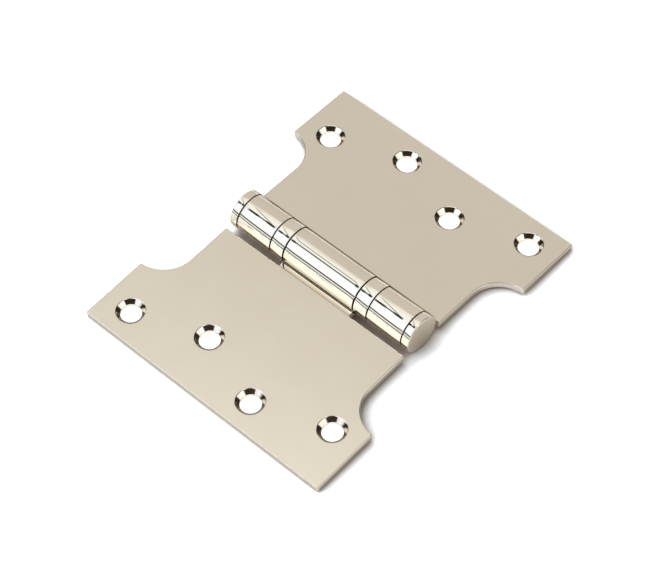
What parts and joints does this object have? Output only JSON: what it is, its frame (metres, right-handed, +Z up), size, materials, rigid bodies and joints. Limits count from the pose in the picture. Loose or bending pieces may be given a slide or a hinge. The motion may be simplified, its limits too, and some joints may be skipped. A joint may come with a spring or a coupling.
{
  "type": "parliament hinge",
  "caption": "Polished nickel parliament hinge: wide leaves with concave necked shoulders and staggered countersunk holes, joined by a pinned ball-bearing barrel with flat end caps.",
  "frame": {"origin": "on the surface the open hinge lies on, under the middle of the barrel", "axes": "+X along the pin, +Y across the leaves towards the frame leaf, +Z up, out of the leaves' fronts"},
  "size_m": [0.102, 0.1268, 0.014],
  "materials": {
    "nickel_leaf": "polished",
    "nickel_barrel": "polished",
    "bearing_steel": "ground",
    "ball_steel": "polished",
    "cage_brass": "satin"
  },
  "bodies": {
    "frame": {"frame_leaf": "nickel_leaf", "pin": "bearing_steel", "left_cap": "nickel_barrel", "left_bearing_cup": "nickel_barrel", "left_frame_race": "bearing_steel", "right_cap": "nickel_barrel", "right_bearing_cup": "nickel_barrel", "right_frame_race": "bearing_steel"},
    "door": {"door_leaf": "nickel_leaf", "left_bearing_cover": "bearing_steel", "left_door_race": "bearing_steel", "right_bearing_cover": "bearing_steel", "right_door_race": "bearing_steel"},
    "left_cage": {"left_ball_cage": "cage_brass", "left_balls": "ball_steel"},
    "right_cage": {"right_ball_cage": "cage_brass", "right_balls": "ball_steel"}
  },
  "joints": [
    {"name": "door_swing", "type": "hinge", "parent": "frame", "child": "door", "pos_m": [0, 0, 0.007], "axis": [-1, 0, 0], "range_deg": [-117, 187.5]},
    {"name": "left_cage_roll", "type": "hinge", "parent": "frame", "child": "left_cage", "pos_m": [0, 0, 0.007], "axis": [-1, 0, 0], "range_deg": [-58.5, 93.75]},
    {"name": "right_cage_roll", "type": "hinge", "parent": "frame", "child": "right_cage", "pos_m": [0, 0, 0.007], "axis": [-1, 0, 0], "range_deg": [-58.5, 93.75]}
  ],
  "couplings": [
    {"joint": "left_cage_roll", "follows": "door_swing", "ratio": 0.5},
    {"joint": "right_cage_roll", "follows": "door_swing", "ratio": 0.5}
  ]
}
